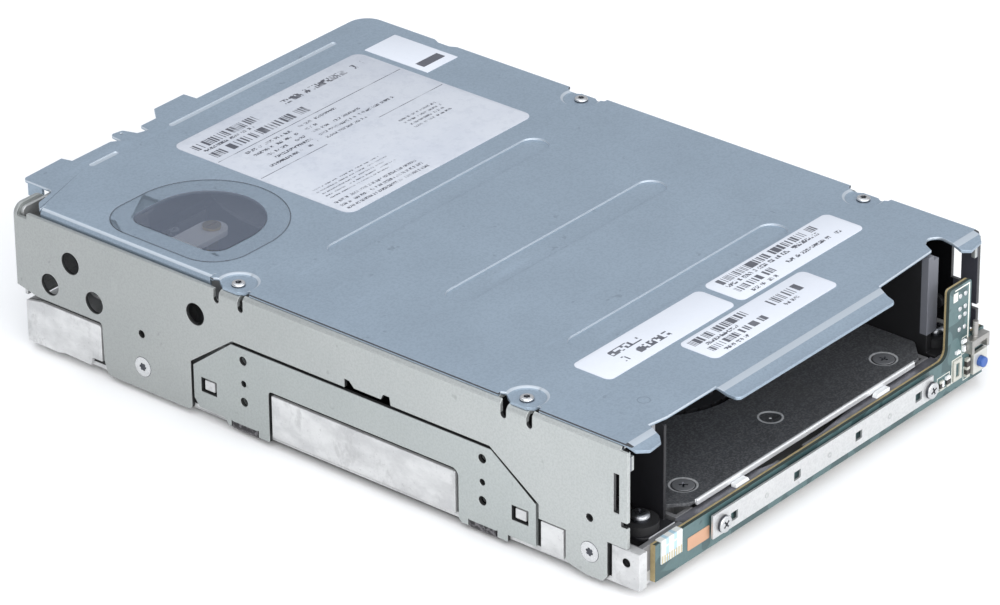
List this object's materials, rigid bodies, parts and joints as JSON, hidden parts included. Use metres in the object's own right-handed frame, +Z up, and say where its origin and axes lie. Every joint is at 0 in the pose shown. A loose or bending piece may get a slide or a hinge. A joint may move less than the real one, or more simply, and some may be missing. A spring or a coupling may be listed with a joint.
{
  "type": "data tape drive",
  "caption": "Half-height data tape drive with an open cartridge bay, lifting drive hub, take-up reel, stepped tape head and side mounting plates.",
  "frame": {"origin": "middle of the footprint at the bottom mounting face", "axes": "+Y from the cartridge mouth to the connectors at the back, +Z up, +X to the right as seen from the mouth"},
  "size_m": [0.146, 0.2212, 0.0417],
  "materials": {
    "zinc_steel": "zinc plated sheet, fine grain",
    "cast_alloy": "pressure cast, fine matt skin",
    "bright_steel": "bright nickel plated",
    "spring_steel": "tempered spring strip",
    "black_sheet": "matt black coating",
    "black_plastic": "moulded, fine texture",
    "white_plastic": "moulded",
    "grey_plastic": "moulded",
    "rubber": "moulded",
    "film": "thin adhesive film",
    "circuit_board": "green solder mask",
    "chip": "moulded epoxy",
    "ribbon": "flat cable",
    "blue_plastic": "moulded",
    "brass": "turned",
    "ceramic": "ground"
  },
  "bodies": {
    "chassis": {"top_cover": "zinc_steel", "window_film": "film", "cover_screws": "bright_steel", "left_side_wall": "zinc_steel", "right_side_wall": "zinc_steel", "left_mount_plate": "zinc_steel", "right_mount_plate": "zinc_steel", "side_screws": "bright_steel", "rear_panel": "zinc_steel", "base_casting": "cast_alloy", "supply_motor": "zinc_steel", "load_gear_pin": "bright_steel", "load_motor": "bright_steel", "bay_floor_plate": "black_sheet", "floor_plate_screws": "bright_steel", "left_guide": "black_sheet", "right_guide": "black_plastic", "guide_clip": "grey_plastic", "cartridge_springs": "spring_steel", "centering_tabs": "white_plastic", "isolator_grommets": "rubber", "isolator_screws": "bright_steel", "take_up_motor": "zinc_steel", "roller_pins": "bright_steel", "head_bridge": "cast_alloy", "stepper_motor": "zinc_steel", "guide_pin": "bright_steel", "leader_arm_pin": "bright_steel", "door_lever_pin": "bright_steel", "front_board": "circuit_board", "board_stiffener": "zinc_steel", "stiffener_screws": "bright_steel", "flex_tail": "ribbon", "eject_switch_body": "black_plastic", "sensor_can": "bright_steel", "front_board_parts": "white_plastic", "main_board": "circuit_board", "main_board_screws": "bright_steel", "board_chips": "chip", "data_connector": "black_plastic", "power_connector": "white_plastic", "id_jumpers": "black_plastic"},
    "lift_ring": {"lift_ring": "white_plastic"},
    "hub_carrier": {"hub_carrier": "white_plastic"},
    "reel_driver": {"reel_driver": "black_plastic"},
    "load_gear": {"load_gear": "white_plastic"},
    "load_worm": {"load_worm": "brass"},
    "take_up_reel": {"take_up_reel": "grey_plastic"},
    "tape_roller_1": {"tape_roller_1": "cast_alloy"},
    "tape_roller_2": {"tape_roller_2": "cast_alloy"},
    "tape_roller_3": {"tape_roller_3": "cast_alloy"},
    "tape_roller_4": {"tape_roller_4": "cast_alloy"},
    "leadscrew": {"leadscrew": "brass"},
    "head": {"head_carriage": "cast_alloy", "tape_head": "ceramic"},
    "leader_arm": {"leader_arm": "zinc_steel"},
    "door_lever": {"door_lever": "black_plastic"},
    "eject_button": {"eject_button": "blue_plastic"}
  },
  "joints": [
    {"name": "eject_press", "type": "slide", "parent": "chassis", "child": "eject_button", "axis": [0, 1, 0], "range_m": [0, 0.00025], "stiffness_N_per_m": 400, "springref_m": -0.001},
    {"name": "ring_turn", "type": "hinge", "parent": "chassis", "child": "lift_ring", "pos_m": [0, -0.05495, 0.0085], "axis": [0, 0, 1], "range_deg": [0, 60.01]},
    {"name": "hub_lift", "type": "slide", "parent": "chassis", "child": "hub_carrier", "axis": [0, 0, 1], "range_m": [0, 0.002]},
    {"name": "driver_spin", "type": "hinge", "parent": "hub_carrier", "child": "reel_driver", "pos_m": [0, -0.05495, 0.012], "axis": [0, 0, 1], "continuous": true},
    {"name": "load_gear_turn", "type": "hinge", "parent": "chassis", "child": "load_gear", "pos_m": [-0.0433, -0.05495, 0.0098], "axis": [0, 0, 1], "range_deg": [-139, 0]},
    {"name": "worm_turn", "type": "hinge", "parent": "chassis", "child": "load_worm", "pos_m": [-0.05965, -0.05495, 0.0099], "axis": [0, 1, 0], "range_deg": [0, 1801]},
    {"name": "take_up_spin", "type": "hinge", "parent": "chassis", "child": "take_up_reel", "pos_m": [0.01, 0.05305, 0.026], "axis": [0, 0, 1], "continuous": true},
    {"name": "roller_1_spin", "type": "hinge", "parent": "chassis", "child": "tape_roller_1", "pos_m": [-0.058, 0.01505, 0.026], "axis": [0, 0, 1], "continuous": true},
    {"name": "roller_2_spin", "type": "hinge", "parent": "chassis", "child": "tape_roller_2", "pos_m": [-0.062, 0.03405, 0.026], "axis": [0, 0, 1], "continuous": true},
    {"name": "roller_3_spin", "type": "hinge", "parent": "chassis", "child": "tape_roller_3", "pos_m": [-0.062, 0.07605, 0.026], "axis": [0, 0, 1], "continuous": true},
    {"name": "roller_4_spin", "type": "hinge", "parent": "chassis", "child": "tape_roller_4", "pos_m": [-0.044, 0.08705, 0.026], "axis": [0, 0, 1], "continuous": true},
    {"name": "screw_turn", "type": "hinge", "parent": "chassis", "child": "leadscrew", "pos_m": [-0.0466, 0.05505, 0.026], "axis": [0, 0, 1], "range_deg": [0, 1801]},
    {"name": "head_rise", "type": "slide", "parent": "chassis", "child": "head", "axis": [0, 0, 1], "range_m": [0, 0.01]},
    {"name": "leader_swing", "type": "hinge", "parent": "chassis", "child": "leader_arm", "pos_m": [-0.034, 0.00805, 0.029], "axis": [0, 0, 1], "range_deg": [0, 20]},
    {"name": "door_swing", "type": "hinge", "parent": "chassis", "child": "door_lever", "pos_m": [0.0625, -0.00795, 0.021], "axis": [0, 0, 1], "range_deg": [0, 25]}
  ],
  "couplings": [
    {"joint": "ring_turn", "follows": "hub_lift", "rad_per_m": 523.6},
    {"joint": "load_gear_turn", "follows": "hub_lift", "rad_per_m": -1208.3},
    {"joint": "worm_turn", "follows": "hub_lift", "rad_per_m": 15708},
    {"joint": "screw_turn", "follows": "head_rise", "rad_per_m": 3141.6}
  ]
}
